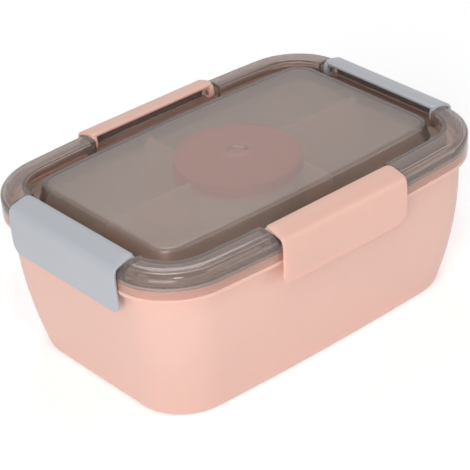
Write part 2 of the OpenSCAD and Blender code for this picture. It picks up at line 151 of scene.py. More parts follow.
class Outline:
    """Columns of a rounded rectangle, anticlockwise. A column keeps its shares cx, cy of
    the corner centre and its direction, so that rings of any size line up, and zone is 2
    inside a hinge pocket, 1 in the solid rim beside it and 0 elsewhere."""

    def __init__(self, pockets=False):
        arc = np.linspace(0, math.pi / 2, ARC_STEPS + 1)
        cx, cy, angle, zone = [], [], [], []
        for quadrant in range(4):
            sx = 1 if quadrant in (0, 3) else -1
            sy = 1 if quadrant < 2 else -1
            cx.append(np.full(arc.shape, sx))
            cy.append(np.full(arc.shape, sy))
            angle.append(arc + quadrant * math.pi / 2)
            long_side = quadrant % 2 == 0
            from_short_side = arc if long_side else arc[::-1]
            zone.append((pockets & (from_short_side < CORNER_BLOCK)).astype(int))
            places, inside = self.side(long_side, pockets)
            ahead = (quadrant + 1) * math.pi / 2
            run = places if quadrant < 2 else -places
            cx.append(run if long_side else np.full(run.shape, sx))
            cy.append(np.full(run.shape, sy) if long_side else run)
            angle.append(np.full(run.shape, ahead))
            zone.append(inside)
        self.cx, self.cy = np.concatenate(cx), np.concatenate(cy)
        self.zone = np.concatenate(zone)
        angle = np.concatenate(angle)
        self.cos, self.sin = np.cos(angle), np.sin(angle)

    @staticmethod
    def side(long_side, pockets):
        """Places along one side, from 1 to -1 without its ends, and each one's zone. The long
        sides' bow draws the short ones in, so there the pocket fills the straight part and
        the solid rim beside it lies in the corners."""
        if not pockets:
            places = np.linspace(1, -1, 26 if long_side else 18)[1:-1]
            return places, np.zeros(places.shape, int)
        if long_side:
            straight, block_half, pocket_half = LID_HALF[0] - LID_CORNER, BLOCK_HALF, POCKET_HALF
            outer = np.linspace(straight, block_half + THIN, 8)[1:]
        else:
            straight = block_half = LID_HALF[1] - LID_CORNER
            pocket_half, outer = straight - 3 * THIN, np.empty(0)
        block = np.array([block_half - THIN, pocket_half + THIN])
        middle = np.linspace(pocket_half - THIN, -pocket_half + THIN, 21)
        half = np.concatenate([outer, block])
        zones = np.repeat([0, 1], [len(outer), len(block)])
        places = np.concatenate([half, middle, -half[::-1]]) / straight
        return places, np.concatenate([zones, np.full(len(middle), 2), zones[::-1]])

    def ring(self, half_l, half_w, radius, bow):
        """Points of one ring: corner centres plus the corner radius along each column's
        direction, with the long sides drawn in by the square of their place."""
        x = self.cx * (half_l - radius) + radius * self.cos
        y = self.cy * (half_w - radius) + radius * self.sin
        return x, y - bow * (y / half_w) * (x / half_l) ** 2

    def rim(self, inset):
        """Ring at a distance inside the lid's outer face."""
        return self.ring(LID_HALF[0] - inset, LID_HALF[1] - inset,
                         LID_CORNER - inset, bow_at(inset))

    def panel(self, outset):
        """Ring at a distance outside the raised panel's edge."""
        return self.ring(PANEL_HALF[0] + outset, PANEL_HALF[1] + outset,
                         PANEL_CORNER + outset, PANEL_BOW)

    def circle(self, radius):
        """Round ring with a column in each direction of the outline."""
        x, y = self.panel(0)
        far = np.hypot(x, y)
        return radius * x / far, radius * y / far


def shrunk(row, share):
    """A ring drawn in towards the middle at its own height."""
    return row[0] * share, row[1] * share, row[2]


def rows_to_grid(rows):
    """Array of (row, column, xyz) from a list of (x, y, z)."""
    return np.stack([np.stack([x, y, np.broadcast_to(z, x.shape)], -1) for x, y, z in rows])


def smooth(points, parts=5, tension=0.5):
    """Curve through the points: each gap gets parts steps of a cubic whose end slopes are
    half the step between the neighbours on each side."""
    p = np.asarray(points, float)
    padded = np.vstack([2 * p[0] - p[1], p, 2 * p[-1] - p[-2]])
    t = (np.arange(parts) / parts)[:, None]
    pieces = []
    for before, a, b, after in zip(padded[:-3], padded[1:-2], padded[2:-1], padded[3:]):
        ma, mb = tension * (b - before), tension * (after - a)
        pieces.append((2 * t**3 - 3 * t**2 + 1) * a + (t**3 - 2 * t**2 + t) * ma
                      + (3 * t**2 - 2 * t**3) * b + (t**3 - t**2) * mb)
    return np.vstack(pieces + [p[-1:]])


def rounded(points, radius, parts=4):
    """Polyline with each inner corner replaced by an arc-like quadratic curve that starts
    radius before the corner and ends radius after it."""
    p = np.asarray(points, float)
    out = [p[:1]]
    t = np.linspace(0, 1, parts + 1)[:, None]
    for before, here, after in zip(p[:-2], p[1:-1], p[2:]):
        back, ahead = before - here, after - here
        cut = min(radius, 0.45 * np.linalg.norm(back), 0.45 * np.linalg.norm(ahead))
        start = here + back / np.linalg.norm(back) * cut
        end = here + ahead / np.linalg.norm(ahead) * cut
        out.append((1 - t) ** 2 * start + 2 * t * (1 - t) * here + t**2 * end)
    return np.vstack(out + [p[-1:]])


def grid_shell(grid, wrap_rows=False):
    """Vertices and faces of a grid whose columns close on themselves. Its rows close too,
    or else its first and last rows are closed by a fan to their middle."""
    rows, cols = grid.shape[:2]
    verts = grid.reshape(-1, 3)
    r = np.arange(rows if wrap_rows else rows - 1)[:, None]
    c = np.arange(cols)[None, :]
    below, above = r * cols, (r + 1) % rows * cols
    right = (c + 1) % cols
    quads = np.stack([below + c, below + right, above + right, above + c], -1).reshape(-1, 4)
    if wrap_rows:
        return verts, quads.tolist()
    hubs = np.stack([grid[0].mean(0), grid[-1].mean(0)])
    c = c[0]
    low = np.stack([np.full(cols, rows * cols), (c + 1) % cols, c], -1)
    top = (rows - 1) * cols
    high = np.stack([np.full(cols, rows * cols + 1), top + c, top + (c + 1) % cols], -1)
    return np.vstack([verts, hubs]), quads.tolist() + low.tolist() + high.tolist()


def revolve(profile, steps=128):
    """Grid of a (radius, z) profile turned about the vertical axis."""
    turn = np.linspace(0, 2 * math.pi, steps, endpoint=False)
    r, z = np.asarray(profile, float).T
    x, y = r[:, None] * np.cos(turn), r[:, None] * np.sin(turn)
    return np.stack([x, y, np.broadcast_to(z[:, None], x.shape)], -1)


def turned(points, angle):
    """Points (x, y, z) turned anticlockwise by the angle, seen from above."""
    return points @ np.array([[math.cos(angle), math.sin(angle), 0],
                              [-math.sin(angle), math.cos(angle), 0], [0, 0, 1]])


def outward(shell):
    """The same closed shell with its faces pointing outwards. Its signed volume is the sum of
    a . (b x c) / 6 over the triangles of its faces, and it is negative when they point in."""
    verts, faces = np.asarray(shell[0], float), shell[1]
    fans = np.array([(f[0], f[i], f[i + 1]) for f in faces for i in range(1, len(f) - 1)])
    a, b, c = (verts[fans[:, k]] for k in range(3))
    volume = (a * np.cross(b, c)).sum() / 6
    return verts, faces if volume > 0 else [face[::-1] for face in faces]


def piece(name, shells, body, node, material, sharp=35):
    """Mesh object from closed (vertices, faces) shells in millimetres, riding on a body in
    place of a node. Edges sharper than the angle in degrees stay crisp."""
    shells = [outward(shell) for shell in shells]
    verts = np.vstack([v for v, _ in shells]) * MM
    faces, first = [], 0
    for v, f in shells:
        faces += [[first + i for i in face] for face in f]
        first += len(v)
    mesh = bpy.data.meshes.new(name)
    mesh.from_pydata(verts.tolist(), [], faces)
    mesh.materials.append(material)
    mesh.shade_smooth()
    mesh.set_sharp_from_angle(angle=math.radians(sharp))
    mesh.validate()
    mesh.update()
    obj = bpy.data.objects.new(name, mesh)
    bpy.context.scene.collection.objects.link(obj)
    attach(obj, body)
    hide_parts(node)


# ---------------------------------------------------------------- materials

# The drift's noise scale per metre and its share of a colour, the grain's noise scale and
# depth in metres, and the grain's strength on moulded and on clear faces
DRIFT_SCALE = 14
DRIFT_SHARE = 0.03
GRAIN_SCALE = 2600
GRAIN_DEPTH = 0.0002
MOULD_GRAIN = 0.08
CLEAR_GRAIN = 0.006
# Share of each colour that lamps keep through one wall of the smoky lid, as a power of it
LAMP_POWER = 0.2


def noise(nodes, links, place, scale, detail):
    """Factor socket of a noise over the object's own coordinates."""
    texture = nodes.new("ShaderNodeTexNoise")
    texture.inputs["Scale"].default_value = scale
    texture.inputs["Detail"].default_value = detail
    links.new(place, texture.inputs["Vector"])
    return texture.outputs["Fac"]


def spread(nodes, links, factor, low, high):
    """Socket that goes from low to high as the factor goes from 0 to 1."""
    span = nodes.new("ShaderNodeMapRange")
    span.inputs["To Min"].default_value = low
    span.inputs["To Max"].default_value = high
    links.new(factor, span.inputs["Value"])
    return span.outputs["Result"]


def plastic(name, color, roughness, grain, **sockets):
    """Moulded plastic: a colour and a roughness that drift a little, and fine mould grain in
    the bump."""
    material = bpy.data.materials.new(name)
    material.use_nodes = True
    nodes, links = material.node_tree.nodes, material.node_tree.links
    shader = nodes["Principled BSDF"]
    place = nodes.new("ShaderNodeTexCoord").outputs["Object"]
    drift = noise(nodes, links, place, DRIFT_SCALE, 3)
    tint = nodes.new("ShaderNodeMix")
    tint.data_type = "RGBA"
    tint.inputs["A"].default_value = (*[c * (1 - DRIFT_SHARE) for c in color], 1)
    tint.inputs["B"].default_value = (*[min(1, c * (1 + DRIFT_SHARE)) for c in color], 1)
    links.new(drift, tint.inputs["Factor"])
    links.new(tint.outputs["Result"], shader.inputs["Base Color"])
    bump = nodes.new("ShaderNodeBump")
    bump.inputs["Strength"].default_value = grain
    bump.inputs["Distance"].default_value = GRAIN_DEPTH
    links.new(noise(nodes, links, place, GRAIN_SCALE, 2), bump.inputs["Height"])
    links.new(bump.outputs["Normal"], shader.inputs["Normal"])
    gloss = spread(nodes, links, drift, roughness * 0.9, roughness * 1.1)
    links.new(gloss, shader.inputs["Roughness"])
    for socket, value in sockets.items():
        shader.inputs[socket.replace("_", " ")].default_value = value
    return material


def srgb(r, g, b):
    """Linear colour of an eight-bit sRGB one."""
    return tuple(c / 12.92 if c <= 0.04045 else ((c + 0.055) / 1.055) ** 2.4
                 for c in (v / 255 for v in (r, g, b)))


def on_panel(nodes, links):
    """Socket that is 1 over the top of the lid's raised panel and 0 over the channel and the
    rim. It falls over HAZE_EDGE past the rectangle of half size HAZE_HALF, by the greater of
    |x| and |y| past it: near the top of the short walls and near the foot of the long ones."""
    place = nodes.new("ShaderNodeTexCoord")
    folded = nodes.new("ShaderNodeVectorMath")
    folded.operation = "ABSOLUTE"
    links.new(place.outputs["Object"], folded.inputs[0])
    past = nodes.new("ShaderNodeVectorMath")
    past.operation = "SUBTRACT"
    past.inputs[1].default_value = (*[half * MM for half in HAZE_HALF], 0)
    links.new(folded.outputs["Vector"], past.inputs[0])
    axes = nodes.new("ShaderNodeSeparateXYZ")
    links.new(past.outputs["Vector"], axes.inputs[0])
    furthest = nodes.new("ShaderNodeMath")
    furthest.operation = "MAXIMUM"
    links.new(axes.outputs["X"], furthest.inputs[0])
    links.new(axes.outputs["Y"], furthest.inputs[1])
    fall = spread(nodes, links, furthest.outputs[0], 1, 0)
    fall.node.inputs["From Max"].default_value = HAZE_EDGE * MM
    return fall


def smoky(name, color, roughness, haze, deeper, depth_color, density):
    """Clear smoky plastic with a volume that takes more light the more of it is in the
    way. Its panel is hazier and a little deeper than its polished rim. Lamps shine through
    it onto what lies inside."""
    material = plastic(name, color, roughness, grain=CLEAR_GRAIN,
                       Transmission_Weight=0.87, IOR=1.47)
    nodes, links = material.node_tree.nodes, material.node_tree.links
    shader, output = nodes["Principled BSDF"], nodes["Material Output"]
    panel = on_panel(nodes, links)
    nodes.remove(shader.inputs["Roughness"].links[0].from_node)
    links.new(spread(nodes, links, panel, roughness, haze), shader.inputs["Roughness"])
    tone = nodes.new("ShaderNodeMix")
    tone.data_type = "RGBA"
    tone.blend_type = "MULTIPLY"
    tone.inputs["B"].default_value = (deeper, deeper, deeper, 1)
    links.new(panel, tone.inputs["Factor"])
    links.new(shader.inputs["Base Color"].links[0].from_socket, tone.inputs["A"])
    links.new(tone.outputs["Result"], shader.inputs["Base Color"])
    light_path = nodes.new("ShaderNodeLightPath")
    through = nodes.new("ShaderNodeBsdfTransparent")
    through.inputs["Color"].default_value = (*[c**LAMP_POWER for c in color], 1)
    either = nodes.new("ShaderNodeMixShader")
    links.new(light_path.outputs["Is Shadow Ray"], either.inputs["Fac"])
    links.new(shader.outputs["BSDF"], either.inputs[1])
    links.new(through.outputs["BSDF"], either.inputs[2])
    links.new(either.outputs["Shader"], output.inputs["Surface"])
    depth = nodes.new("ShaderNodeVolumeAbsorption")
    depth.inputs["Color"].default_value = (*depth_color, 1)
    depth.inputs["Density"].default_value = density
    links.new(depth.outputs["Volume"], output.inputs["Volume"])
    return material


pink = plastic("pink_plastic", srgb(243, 199, 185), 0.42, grain=MOULD_GRAIN,
               Subsurface_Weight=0.15, Subsurface_Scale=0.004)
clasp_pink = plastic("clasp_pink", srgb(246, 196, 180), 0.34, grain=MOULD_GRAIN,
                     Subsurface_Weight=0.15, Subsurface_Scale=0.004)
clasp_grey = plastic("clasp_grey", srgb(187, 190, 197), 0.34, grain=MOULD_GRAIN)
smoky_clear = smoky("smoky_plastic", (0.72, 0.615, 0.575), roughness=0.1, haze=0.24, deeper=0.85,
                    depth_color=(0.49, 0.43, 0.41), density=220)
cup_pink = plastic("cup_pink", srgb(234, 150, 128), 0.42, grain=MOULD_GRAIN)
milky = plastic("milky_plastic", srgb(238, 230, 220), 0.35, grain=0.03,
                Subsurface_Weight=0.4, Subsurface_Scale=0.006)
silicone = plastic("silicone", srgb(226, 226, 222), 0.55, grain=0.05)


# ---------------------------------------------------------------- bowl


def bowl_rows(columns):
    """Rings up the bowl's outside, over its flange and rim, and down its inside. The wall's
    half size rises as 1 - (1 - z / flange height) ** WALL_CURVE."""

    def wall(inset, z):
        t = min(z, FLANGE_Z) / FLANGE_Z
        rise = 1 - (1 - t) ** WALL_CURVE
        half = [low + (high - WALL_IN - low) * rise for low, high in zip(BASE_HALF, LID_HALF)]
        corner = BASE_CORNER + (LID_CORNER - WALL_IN - BASE_CORNER) * t - inset
        bow = BASE_BOW + (bow_at(WALL_IN) - BASE_BOW) * t * t
        return (*columns.ring(half[0] - inset, half[1] - inset, corner, bow), z)

    quarter = np.linspace(0, math.pi / 2, 7)
    rows = [shrunk(wall(BASE_ROUND, 0.0), share) for share in (0.2, 0.6, 0.9)]
    rows += [wall(BASE_ROUND * (1 - math.sin(a)), BASE_ROUND * (1 - math.cos(a))) for a in quarter]
    rows += [wall(0, z) for z in np.linspace(BASE_ROUND, FLANGE_Z - 2.4, 26)[1:]]
    flange = rounded([(WALL_IN + 0.05, FLANGE_Z - 2.4), (WALL_IN - 0.1, FLANGE_Z),
                      (FLANGE_IN, FLANGE_Z), (FLANGE_IN, LIP_LOW - 0.4), (BAND_IN, LIP_LOW - 0.4),
                      (BAND_IN, BOWL_TOP), (MOUTH_IN, BOWL_TOP),
                      (MOUTH_IN, LEDGE_Z), (MOUTH_IN + LEDGE_W, LEDGE_Z),
                      (MOUTH_IN + LEDGE_W, LEDGE_Z - 4)], 0.6)
    flange = np.vstack([rounded(flange[:2], 1), flange[2:]])
    rows += [(*columns.rim(inset), z) for inset, z in flange[1:-1]]
    rows += [wall(BOWL_WALL, z) for z in np.linspace(LEDGE_Z - 7, BOWL_WALL + 5, 22)]
    rows += [wall(BOWL_WALL + 5 * (1 - math.sin(a)), BOWL_WALL + 5 * (1 - math.cos(a)))
             for a in quarter[::-1][1:]]
    rows += [shrunk(wall(BOWL_WALL + 5, BOWL_WALL), share) for share in (0.9, 0.6, 0.2)]
    return rows


def make_bowl():
    grid = rows_to_grid(bowl_rows(Outline()))
    piece("bowl_shell", [grid_shell(grid)], "bowl", "bowl", pink)


# ---------------------------------------------------------------- lid

RIM_CURVE = [(0.0, LIP_LOW + 0.3), (0.0, SKIRT + 0.4), (0.0, RIM_TOP - 5.4),
             (0.5, RIM_TOP - 3.8), (1.8, RIM_TOP - 2.4), (3.5, RIM_TOP - 1.6),
             (4.1, RIM_TOP - 0.9), (6.2, RIM_TOP - 0.3), (9.5, RIM_TOP),
             (RIM_WIDTH - 1.1, RIM_TOP - 0.1), (RIM_WIDTH - 0.3, RIM_TOP - 0.5),
             (RIM_WIDTH, RIM_TOP - 1.3), (RIM_WIDTH + 0.5, CHANNEL + 0.8),
             (RIM_WIDTH + 1.3, CHANNEL)]
PANEL_CURVE = [(PANEL_SPLAY + 0.8, CHANNEL), (PANEL_SPLAY, CHANNEL + 0.8),
               (0.6, PANEL_TOP - 1.4), (0.0, PANEL_TOP - 0.4), (-0.9, PANEL_TOP)]
HOLLOW_LINE = [(HOLLOW_IN, LID_UNDER), (HOLLOW_IN, RIM_TOP - LID_WALL),
               (6.4, RIM_TOP - LID_WALL - 0.2), (3.8, RIM_TOP - LID_WALL - 1.2),
               (HOLLOW_OUT, RIM_TOP - LID_WALL - 2.4), (HOLLOW_OUT, SKIRT + SEAL_THICK + 1.5),
               (SEAL_IN + SEAL_WIDTH + 2.2, SKIRT + SEAL_THICK + 1.5),
               (SEAL_IN + SEAL_WIDTH + 2.2, SKIRT)]


def zoned_row(columns, normal, block, pocket):
    """Row of rim points whose inset and height differ between the zones of the outline."""
    x, y = columns.rim(normal[0])
    z = np.full(x.shape, float(normal[1]))
    for zone, (inset, height) in ((1, block), (2, pocket)):
        zx, zy = columns.rim(inset)
        here = columns.zone == zone
        x, y, z = np.where(here, zx, x), np.where(here, zy, y), np.where(here, height, z)
    return x, y, z


def lid_rows(columns):
    """Rings from the middle of the lid's underside out, through the hollow rim and the
    seal's groove, up the skirt and back over rim, channel and panel to the middle. Under a
    clasp the rim is lowered to BED_TOP, in full from BED_RISE above BED_LOW."""
    inner = (*columns.panel(-6), PANEL_TOP - LID_WALL)
    rows = [shrunk(inner, share) for share in (0.2, 0.5, 0.8)]
    for outset, z in rounded([(-6, PANEL_TOP - LID_WALL), (-LID_WALL, PANEL_TOP - LID_WALL),
                              (PANEL_SPLAY - LID_WALL, LID_UNDER), (PANEL_SPLAY, LID_UNDER)], 1.2):
        rows.append((*columns.panel(outset), z))
    hollow = rounded(HOLLOW_LINE, 1.0)
    flat = np.linspace(hollow[0][0], hollow[-1][0], len(hollow))
    mouth = MOUTH_IN + 0.5
    for (inset, z), across in zip(hollow, flat):
        filled = (across, LID_UNDER if across > mouth else SKIRT)
        rows.append(zoned_row(columns, (inset, z), filled, filled))
    groove_in = SEAL_IN + SEAL_WIDTH + 0.2
    groove_top = SKIRT + SEAL_THICK - 0.1
    for inset, z in ((groove_in, SKIRT), (groove_in, groove_top), (SEAL_IN, groove_top),
                     (SEAL_IN, SKIRT), (LIP_T, SKIRT), (LIP_T, LIP_LOW), (0.3, LIP_LOW)):
        rows.append((*columns.rim(inset), z))
    curve = smooth(RIM_CURVE, 4)
    at = np.searchsorted(curve[:, 0], POCKET_IN)
    height = np.interp(POCKET_IN, curve[:, 0], curve[:, 1])
    step = [(POCKET_IN - THIN, height), (POCKET_IN + THIN, height)]
    for inset, z in np.insert(curve, at, step, axis=0):
        bed = z - (RIM_TOP - BED_TOP) * min(1, max(0, (z - BED_LOW) / BED_RISE))
        low = (inset, POCKET_FLOOR if inset > POCKET_IN else bed)
        rows.append(zoned_row(columns, (inset, z), (inset, z), low))
    for inset in (POCKET_OUT - THIN, POCKET_OUT + THIN):
        low = (inset, POCKET_FLOOR if inset < POCKET_OUT else CHANNEL)
        rows.append(zoned_row(columns, (inset, CHANNEL), (inset, CHANNEL), low))
    rows += [(*columns.panel(outset), z) for outset, z in smooth(PANEL_CURVE, 3)]
    edge, middle = columns.panel(-3.0), columns.circle(7.5)
    rows += [(*(a + (b - a) * t for a, b in zip(edge, middle)), PANEL_TOP)
             for t in (0.0, 0.15, 0.4, 0.7, 1.0)]
    for radius, z in ((DIMPLE_R, PANEL_TOP), (5.8, PANEL_TOP - 0.1),
                      (5.5, PANEL_TOP - 0.35), (5.0, PANEL_TOP - 0.4), (2.0, PANEL_TOP - 0.4)):
        rows.append((*columns.circle(radius), z))
    return rows


def make_lid():
    columns = Outline(pockets=True)
    shells = [grid_shell(rows_to_grid(lid_rows(columns)))]
    for side in range(4):
        for end in (-1, 1):
            shells.append(at_side(hinge_pin(end), side))
    piece("lid_shell", shells, "lid", "lid", smoky_clear, sharp=40)


def hinge_pin(end):
    """Round pin with a small chamfer, from a pocket's end wall inwards, drawn outwards +Y."""
    start, tip = POCKET_HALF + 0.4, POCKET_HALF - KNUCKLE_W - 1
    turn = np.linspace(0, 2 * math.pi, 24, endpoint=False)
    rows = [(start, 0.02), (start, PIN_R), (tip + 0.3, PIN_R), (tip, PIN_R - 0.3), (tip, 0.02)]
    grid = np.stack([np.stack([np.full(turn.shape, end * x), r * np.cos(turn) - PIVOT_IN,
                               r * np.sin(turn) + PIVOT_Z], -1) for x, r in rows])
    return grid_shell(grid)


def at_side(shell, side):
    """Turn a shell drawn outwards +Y, with the lid's outer face at y = 0, to the front,
    right, back or left side."""
    verts, faces = np.array(shell[0], float), shell[1]
    verts[:, 1] += LID_HALF[1] if side % 2 == 0 else LID_HALF[0]
    return turned(verts, math.radians(180 + 90 * side)), faces


def make_seal():
    columns = Outline()
    low, high = SKIRT - 0.1, SKIRT + SEAL_THICK - 0.1
    section = rounded([(SEAL_IN + 1.2, low), (SEAL_IN + 0.1, low), (SEAL_IN + 0.1, high),
                       (SEAL_IN + 0.1 + SEAL_WIDTH, high), (SEAL_IN + 0.1 + SEAL_WIDTH, low),
                       (SEAL_IN + 1.25, low)], 0.5)
    grid = rows_to_grid([(*columns.rim(inset), z) for inset, z in section[1:]])
    piece("lid_gasket", [grid_shell(grid, wrap_rows=True)], "lid", "lid_seal",
          silicone)


# ---------------------------------------------------------------- clasps

# Outer line of the clasp's plate, outwards and up from the lid's outer face
CLASP_LINE = [(-12.4, BED_TOP + 2.1), (-10, BED_TOP + 2.3),
              (-7.1, BED_TOP + 2.1), (-3.4, BED_TOP + 1.2), (-0.6, BED_TOP + 0.4),
              (0.8, BED_TOP - 0.5), (1.8, BED_TOP - 2), (2.46, BED_TOP - 5),
              (2.4, BED_TOP - 12.5), (2.2, BED_TOP - 18), (1.4, CLASP_LOW + 3),
              (1.1, CLASP_LOW + 0.5)]


def clasp_plate():
    """Bent plate drawn outwards +Y. Rows follow the outer line by length, and each row is
    a closed loop: a rounded bar across the clasp, whose half width follows the rounded
    corners and whose half thickness falls at both ends. The loop keeps a flat of at least
    CLASP_FLAT to each side of its middle, so that no two of its points coincide."""
    line = smooth(CLASP_LINE, 6)
    step = np.linalg.norm(np.diff(line, axis=0), axis=1)
    length = np.concatenate([[0], np.cumsum(step)])
    total, edge = length[-1], CLASP_EDGE
    ends = edge * (1 - np.cos(np.linspace(0, math.pi / 2, 6)))
    inner = np.linspace(edge, total - edge, 90)
    s = np.concatenate([ends[:-1], inner, total - ends[::-1][1:]])
    out = np.stack([np.interp(s, length, line[:, k]) for k in (0, 1)], -1)
    along = np.gradient(out, s, axis=0)
    along /= np.linalg.norm(along, axis=1)[:, None]
    normal = np.stack([-along[:, 1], along[:, 0]], -1)
    centre = out - normal * CLASP_T / 2
    near = np.minimum(s, total - s)

    def corner(distance, radius):
        return radius - np.sqrt(np.maximum(radius**2 - np.maximum(radius - distance, 0) ** 2, 0))

    half_t = CLASP_T / 2 - corner(near, edge)
    half_w = CLASP_HALF - corner(s, CLASP_TOP_ROUND) - corner(total - s, CLASP_ROUND)
    across = bar_section(edge)
    x = across[:, 0] * (half_w[:, None] - edge) + across[:, 1] * edge
    edge_t = np.minimum(edge, half_t - CLASP_FLAT)[:, None]
    n = across[:, 2] * (half_t[:, None] - edge_t) + across[:, 3] * edge_t
    grid = np.stack([x, centre[:, :1] + normal[:, :1] * n, centre[:, 1:] + normal[:, 1:] * n], -1)
    return grid_shell(grid)


def bar_section(edge):
    """Loop round a bar as shares: of its half width less the edge, of the edge sideways, of
    its half thickness less the edge, and of the edge along the thickness."""
    flat = np.linspace(1, -1, 25)
    arc = np.linspace(0, math.pi / 2, 5)
    loop = []
    loop += [(1, math.cos(a), 1, math.sin(a)) for a in arc[:-1]]
    loop += [(f, 0, 1, 1) for f in flat]
    loop += [(-1, -math.sin(a), 1, math.cos(a)) for a in arc[1:]]
    loop += [(-1, -math.cos(a), -1, -math.sin(a)) for a in arc[:-1]]
    loop += [(-f, 0, -1, -1) for f in flat]
    loop += [(1, math.sin(a), -1, -math.cos(a)) for a in arc[1:]]
    return np.array(loop)


def bar(section, half, edge=0.35):
    """Closed bar of a rounded (outwards, up) section along the side, with its ends drawn
    in by edge."""
    loop = rounded(section, edge)[1:-1]
    middle = loop.mean(0)
    rows = []
    for x, share in ((-half, 0.6), (-half + 0.1, 0.85), (-half + edge, 1.0),
                     (half - edge, 1.0), (half - 0.1, 0.85), (half, 0.6)):
        ring = middle + (loop - middle) * share
        rows.append(np.stack([np.full(len(ring), x), ring[:, 0], ring[:, 1]], -1))
    return grid_shell(np.stack(rows))


def make_clasp(name, side, material):
    """Clasp with its plate, two knuckles and a hook, whose top is an arc about the pivot so
    that it swings clear of the flange."""
    tip = PIVOT_IN - FLANGE_IN - HOOK_REACH
    root = PIVOT_IN + 0.6
    reach = math.hypot(PIVOT_IN - FLANGE_IN - 0.5, PIVOT_Z - FLANGE_Z) + 0.2
    top = [(y - PIVOT_IN, PIVOT_Z - math.sqrt(reach**2 - y**2)) for y in np.linspace(tip, root, 6)]
    low = top[0][1]
    hook = [(-1.2, low - 2.5), (tip - PIVOT_IN, low - 1.4)] + top
    hook += [(1.6, top[-1][1]), (1.6, low - 5), (0.8, low - 5), (-1.1, low - 2.6)]
    shells = [clasp_plate(), bar(hook, HOOK_HALF)]
    for end in (-1, 1):
        shells.append(knuckle(end * (CLASP_HALF - KNUCKLE_W / 2)))
    piece(name + "_shell", [at_side(s, side) for s in shells], name, name, material)


def knuckle(x):
    """Round knuckle that runs up into the top plate: a teardrop outline round the bore,
    joined face to face with the bore's wall."""
    a = np.linspace(-math.pi, math.pi, 49)[:-1] + math.pi / 48
    outer = np.stack([KNUCKLE_R * np.cos(a), KNUCKLE_R * np.sin(a)], -1)
    neck = outer[:, 1] > 0
    outer[neck, 1] = np.minimum(BED_TOP + 1.2 - PIVOT_Z, outer[neck, 1] * 1.9)
    bore = (PIN_R + 0.08) * np.stack([np.cos(a), np.sin(a)], -1)
    e, h = 0.35, KNUCKLE_W / 2
    rows = [(bore, -h), (bore + (outer - bore) * 0.75, -h), (outer * 0.97, -h + 0.08),
            (outer, -h + e), (outer, h - e), (outer * 0.97, h - 0.08),
            (bore + (outer - bore) * 0.75, h), (bore, h)]
    grid = np.stack([np.stack([np.full(len(p), x + dx), p[:, 0] - PIVOT_IN, p[:, 1] + PIVOT_Z], -1)
                     for p, dx in rows])
    return grid_shell(grid, wrap_rows=True)


# ---------------------------------------------------------------- tray and cup


def make_tray():
    columns = Outline()
    body, taper, bottom, depth = 3.2, 6.0, 6.0, TRAY_RIM - TRAY_FLOOR

    def tub(wall, z):
        return (*columns.rim(TRAY_IN + body + wall + taper * (TRAY_RIM - z) / depth), z)

    quarter = np.linspace(0, math.pi / 2, 7)
    low = TRAY_FLOOR - TRAY_WALL
    rows = [shrunk(tub(bottom, low), share) for share in (0.2, 0.6, 0.9)]
    rows += [tub(bottom * (1 - math.sin(a)), low + bottom * (1 - math.cos(a))) for a in quarter]
    rows += [tub(0, z) for z in np.linspace(low + bottom, TRAY_RIM - TRAY_WALL - 0.8, 6)[1:]]
    edge = rounded([(TRAY_IN + body, TRAY_RIM - TRAY_WALL - 1),
                    (TRAY_IN + body, TRAY_RIM - TRAY_WALL),
                    (TRAY_IN, TRAY_RIM - TRAY_WALL), (TRAY_IN, TRAY_RIM),
                    (TRAY_IN + body + TRAY_WALL, TRAY_RIM),
                    (TRAY_IN + body + TRAY_WALL + 0.4, TRAY_RIM - 2.5)], 0.6)
    rows += [(*columns.rim(inset), z) for inset, z in edge]
    inner = bottom - TRAY_WALL + 1
    rows += [tub(TRAY_WALL, z) for z in np.linspace(TRAY_RIM - 4, TRAY_FLOOR + inner, 6)]
    rows += [tub(TRAY_WALL + inner * (1 - math.sin(a)), TRAY_FLOOR + inner * (1 - math.cos(a)))
             for a in quarter[::-1][1:]]
    rows += [shrunk(tub(TRAY_WALL + inner, TRAY_FLOOR), share) for share in (0.9, 0.6, 0.2)]
    shells = [grid_shell(rows_to_grid(rows))]
    well = rounded([(WELL_R + 0.8, TRAY_FLOOR - 0.5), (WELL_R + TRAY_WALL, TRAY_FLOOR - 0.5),
                    (WELL_R + TRAY_WALL, TRAY_RIM), (WELL_R, TRAY_RIM), (WELL_R, TRAY_FLOOR - 0.5),
                    (WELL_R + 0.7, TRAY_FLOOR - 0.5)], 0.4)
    shells.append(grid_shell(revolve(well[1:-1]), wrap_rows=True))
    for half_turn in (0, math.pi):
        shells.append(divider(PANEL_HALF[1], -CROSS_X, math.pi / 2 + half_turn))
        shells.append(divider(PANEL_HALF[0], -LONG_Y, half_turn))
    piece("tray_shell", shells, "tray", "tray", milky)


